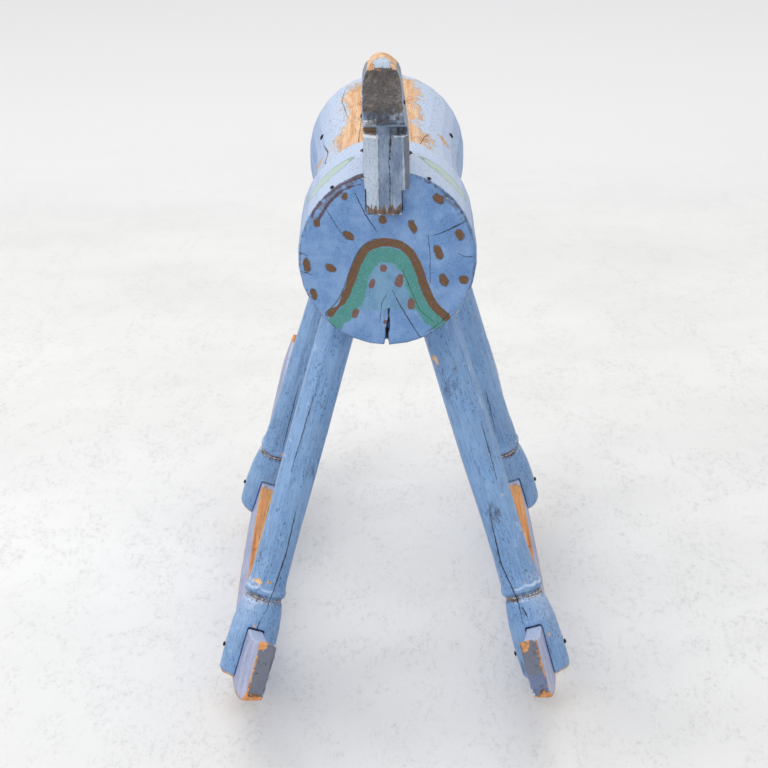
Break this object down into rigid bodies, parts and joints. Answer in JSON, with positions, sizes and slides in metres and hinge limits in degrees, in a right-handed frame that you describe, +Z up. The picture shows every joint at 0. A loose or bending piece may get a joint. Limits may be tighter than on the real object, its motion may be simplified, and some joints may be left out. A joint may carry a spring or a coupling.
{
  "type": "rocking horse",
  "caption": "Blue painted wooden rocking horse: a log body with a plank head and neck, splayed round legs, and curved rockers held in slotted hooves.",
  "frame": {"origin": "on the floor, under the middle of the rockers' length and the middle of the horse's width", "axes": "+Z up, +Y from the nose towards the tail, +X towards the rider's left"},
  "size_m": [0.3496, 0.8818, 0.6525],
  "materials": {
    "body_paint": "worn blue paint on wood",
    "head_paint": "grimy blue paint on wood",
    "leg_paint": "worn blue paint on wood",
    "rocker_paint": "thin lavender blue paint on wood",
    "peg_wood": "bare aged wood",
    "iron": "rusty dark iron"
  },
  "bodies": {
    "root": {"log_body": "body_paint", "head_board": "head_paint", "leg_front_left": "leg_paint", "leg_front_right": "leg_paint", "leg_rear_left": "leg_paint", "leg_rear_right": "leg_paint", "rocker_left": "rocker_paint", "rocker_right": "rocker_paint", "hoof_rivet_front_left": "iron", "hoof_rivet_front_right": "iron", "hoof_rivet_rear_left": "iron", "hoof_rivet_rear_right": "iron", "girth_nail_left": "iron", "girth_nail_right": "iron", "collar_tack_left": "iron", "collar_tack_right": "iron", "neck_nail_left": "iron", "neck_nail_right": "iron", "bridle_tack_left": "iron", "bridle_tack_right": "iron", "tail_peg": "peg_wood"}
  },
  "joints": []
}
